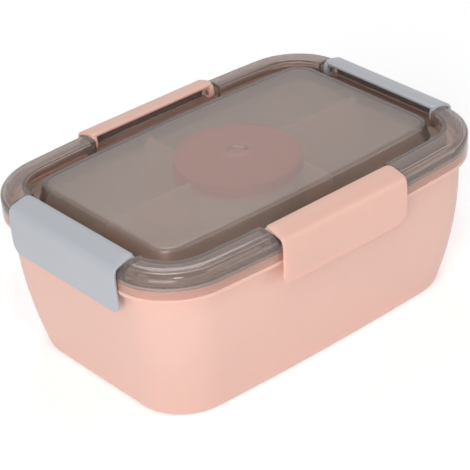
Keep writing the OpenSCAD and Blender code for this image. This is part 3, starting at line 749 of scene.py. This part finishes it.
def divider(panel_reach, aside, angle):
    """Upright wall from the well outwards, drawn along +X and turned by the angle. Its
    outline is a raised top inside the panel that slopes down to the tub's wall, and it
    thickens a little towards its foot."""
    tub_reach = (LID_HALF[0] if abs(math.cos(angle)) > 0.5 else LID_HALF[1]) - TRAY_IN - 3.8
    clear = CUP_LID_R + 1.6
    start = math.sqrt(clear**2 - aside**2)
    inner = math.sqrt((WELL_R + TRAY_WALL - 0.2) ** 2 - aside**2)
    end = panel_reach - LID_WALL - 1.6
    x = np.array([inner, start - THIN, start, start + 1.2,
                  end - 1.5, end, end + 4, tub_reach - 0.6])
    top = np.array([TRAY_RIM - 0.2, TRAY_RIM - 0.2, DIVIDER_TOP - 1.2, DIVIDER_TOP,
                    DIVIDER_TOP, DIVIDER_TOP - 1.5, TRAY_RIM, TRAY_RIM - 1])
    foot = np.full(x.shape, TRAY_FLOOR - 0.4)
    foot[-1] = TRAY_FLOOR + 9
    section = [(-1.25, 0), (-1.0, 0.12), (-0.8, 0.5), (-0.8, 0.97), (-0.6, 0.995), (0, 1),
               (0.6, 0.995), (0.8, 0.97), (0.8, 0.5), (1.0, 0.12), (1.25, 0), (0, 0)]
    side, up = np.array(section).T
    grid = np.stack([np.broadcast_to(x[:, None], (len(x), len(side))),
                     np.broadcast_to(side * TRAY_WALL / 1.6 - aside, (len(x), len(side))),
                     foot[:, None] + (top - foot)[:, None] * up], -1)
    return grid_shell(turned(grid, angle)[:, ::-1])


def make_cup():
    line = rounded([(0.5, CUP_FLOOR), (CUP_FOOT_R - 2, CUP_FLOOR), (CUP_FOOT_R, CUP_FLOOR + 2),
                    (CUP_R - 0.4, TRAY_RIM), (CUP_FLANGE_R, TRAY_RIM),
                    (CUP_FLANGE_R, TRAY_RIM + CUP_FLANGE_T), (CUP_R, TRAY_RIM + CUP_FLANGE_T),
                    (CUP_R, NECK_TOP), (CUP_R - CUP_WALL, NECK_TOP),
                    (CUP_R - CUP_WALL - 0.4, TRAY_RIM), (CUP_FOOT_R - CUP_WALL, CUP_FLOOR + 3.4),
                    (CUP_FOOT_R - CUP_WALL - 2, CUP_FLOOR + CUP_WALL),
                    (0.5, CUP_FLOOR + CUP_WALL)], 0.5)
    piece("cup_shell", [grid_shell(revolve(line))], "dressing_cup", "dressing_cup",
          milky)


def make_cup_lid():
    top = CUP_LID_TOP
    plug = CUP_R - CUP_WALL - 0.35
    inner = CUP_R + 0.35
    line = rounded([(0.5, top - 1.5), (plug - 1.4, top - 1.5), (plug - 1.4, top - 4),
                    (plug, top - 4), (plug, top - 1.5), (inner, top - 1.5), (inner, CUP_LID_LOW),
                    (CUP_LID_R, CUP_LID_LOW), (CUP_LID_R, top), (CUP_LID_R - 4, top),
                    (CUP_LID_R - 4.8, top - 0.5), (0.5, top - 0.5)], 0.7)
    piece("cup_lid_shell", [grid_shell(revolve(line)), tab_shell()], "cup_lid", "cup_lid",
          cup_pink)


def tab_shell():
    """Pull tab: a half round plate that stands out from the lid's skirt, with round edges."""
    a = np.linspace(0, 2 * math.pi, 48, endpoint=False)
    half_w, reach = 6.0, 3.0
    x = CUP_LID_R - 0.4 + np.where(np.cos(a) > 0, reach, 0.8) * np.cos(a)
    y = half_w * np.sin(a)
    rows = []
    for share, z in ((0.6, 0.0), (0.93, 0.05), (1.0, 0.4), (1.0, 1.0), (0.93, 1.35), (0.6, 1.4)):
        px, py = CUP_LID_R + (x - CUP_LID_R) * share, y * share
        rows.append((px * math.cos(TAB_ANGLE) - py * math.sin(TAB_ANGLE),
                     px * math.sin(TAB_ANGLE) + py * math.cos(TAB_ANGLE), CUP_LID_LOW + z))
    return grid_shell(rows_to_grid(rows))


make_bowl()
make_tray()
make_cup()
make_cup_lid()
make_lid()
make_seal()
make_clasp("clasp_front", 0, clasp_pink)
make_clasp("clasp_right", 1, clasp_grey)
make_clasp("clasp_back", 2, clasp_pink)
make_clasp("clasp_left", 3, clasp_grey)

# ---------------------------------------------------------------- camera, light and floor

# Sensor width in mm, the lens in sensor widths, the camera's distance from its aim in
# metres, and its azimuth, elevation and roll
SENSOR = 36
LENS_WIDTHS = 2020 / 470
CAMERA_FAR = 1.1258
CAMERA_ANGLES = [math.radians(degrees) for degrees in (-39.85, 30.73, -3.49)]
CAMERA_SHIFT = (-0.0147, -0.0131)
AIM = (0, 0, 0.05)
# Name, place in metres, side of the square in metres and power in watts
LAMPS = [("key", (-1.4, -0.9, 0.65), 1.1, 15.8), ("glint", (-0.45, -0.6, 1.3), 0.2, 2.1),
         ("fill", (1.2, -1.4, 0.6), 1.0, 5.8), ("back", (0.5, 0.7, 1.4), 0.6, 4.4)]
WORLD_LIGHT = 0.31
FLOOR_GLOW = 0.4
FLOOR_RADIUS = 4
FLOOR_Z = -0.0002


def add_camera():
    """Camera at an azimuth and elevation round the aim, with a small roll."""
    azimuth, elevation, roll = CAMERA_ANGLES
    aim = Vector(AIM)
    back = Vector((math.sin(azimuth) * math.cos(elevation),
                   -math.cos(azimuth) * math.cos(elevation), math.sin(elevation)))
    data = bpy.data.cameras.new("camera")
    data.sensor_width = SENSOR
    data.lens = SENSOR * LENS_WIDTHS
    data.shift_x, data.shift_y = CAMERA_SHIFT
    camera = bpy.data.objects.new("camera", data)
    bpy.context.scene.collection.objects.link(camera)
    turn = (-back).to_track_quat("-Z", "Y").to_matrix().to_4x4()
    away = Matrix.Translation(aim + back * CAMERA_FAR)
    camera.matrix_world = away @ turn @ Matrix.Rotation(roll, 4, "Z")
    bpy.context.scene.camera = camera


def add_area(name, place, size, power):
    """Square soft box that faces the aim."""
    data = bpy.data.lights.new(name, "AREA")
    data.size = size
    data.energy = power
    lamp = bpy.data.objects.new(name, data)
    bpy.context.scene.collection.objects.link(lamp)
    lamp.location = place
    lamp.rotation_euler = (Vector(AIM) - Vector(place)).to_track_quat("-Z", "Y").to_euler()


def seen_rays(tree):
    """Socket that is 1 for rays from the camera, off gloss and through clear plastic."""
    path = tree.nodes.new("ShaderNodeLightPath")
    total = path.outputs["Is Camera Ray"]
    for ray in ("Is Glossy Ray", "Is Transmission Ray"):
        either = tree.nodes.new("ShaderNodeMath")
        either.operation = "MAXIMUM"
        tree.links.new(total, either.inputs[0])
        tree.links.new(path.outputs[ray], either.inputs[1])
        total = either.outputs[0]
    return total


def add_world():
    """Even white surroundings: weak as light on the object, full white where they are seen."""
    world = bpy.data.worlds.new("world")
    world.use_nodes = True
    bpy.context.scene.world = world
    tree = world.node_tree
    light, white = tree.nodes["Background"], tree.nodes.new("ShaderNodeBackground")
    for background, strength in ((light, WORLD_LIGHT), (white, 1.0)):
        background.inputs["Color"].default_value = (1, 1, 1, 1)
        background.inputs["Strength"].default_value = strength
    mix = tree.nodes.new("ShaderNodeMixShader")
    tree.links.new(seen_rays(tree), mix.inputs["Fac"])
    tree.links.new(light.outputs[0], mix.inputs[1])
    tree.links.new(white.outputs[0], mix.inputs[2])
    tree.links.new(mix.outputs[0], tree.nodes["World Output"].inputs["Surface"])


def add_floor():
    """Wide pale disc just under the base. It shows white with the object's shadow on it:
    a diffuse surface with a little glow where it is seen, which lights nothing."""
    turn = np.linspace(0, 2 * math.pi, 96, endpoint=False)
    verts = [(FLOOR_RADIUS * math.cos(a), FLOOR_RADIUS * math.sin(a), FLOOR_Z) for a in turn]
    mesh = bpy.data.meshes.new("floor")
    mesh.from_pydata(verts, [], [list(range(len(turn)))])
    floor = bpy.data.objects.new("floor", mesh)
    bpy.context.scene.collection.objects.link(floor)
    material = bpy.data.materials.new("floor_white")
    material.use_nodes = True
    tree = material.node_tree
    shader = tree.nodes["Principled BSDF"]
    shader.inputs["Base Color"].default_value = (0.9, 0.9, 0.9, 1)
    shader.inputs["Roughness"].default_value = 0.9
    shader.inputs["Emission Color"].default_value = (1, 1, 1, 1)
    glow = tree.nodes.new("ShaderNodeMath")
    glow.operation = "MULTIPLY"
    glow.inputs[1].default_value = FLOOR_GLOW
    tree.links.new(seen_rays(tree), glow.inputs[0])
    tree.links.new(glow.outputs[0], shader.inputs["Emission Strength"])
    mesh.materials.append(material)


add_camera()
for lamp in LAMPS:
    add_area(*lamp)
add_world()
add_floor()
bpy.context.scene.view_settings.view_transform = "Standard"
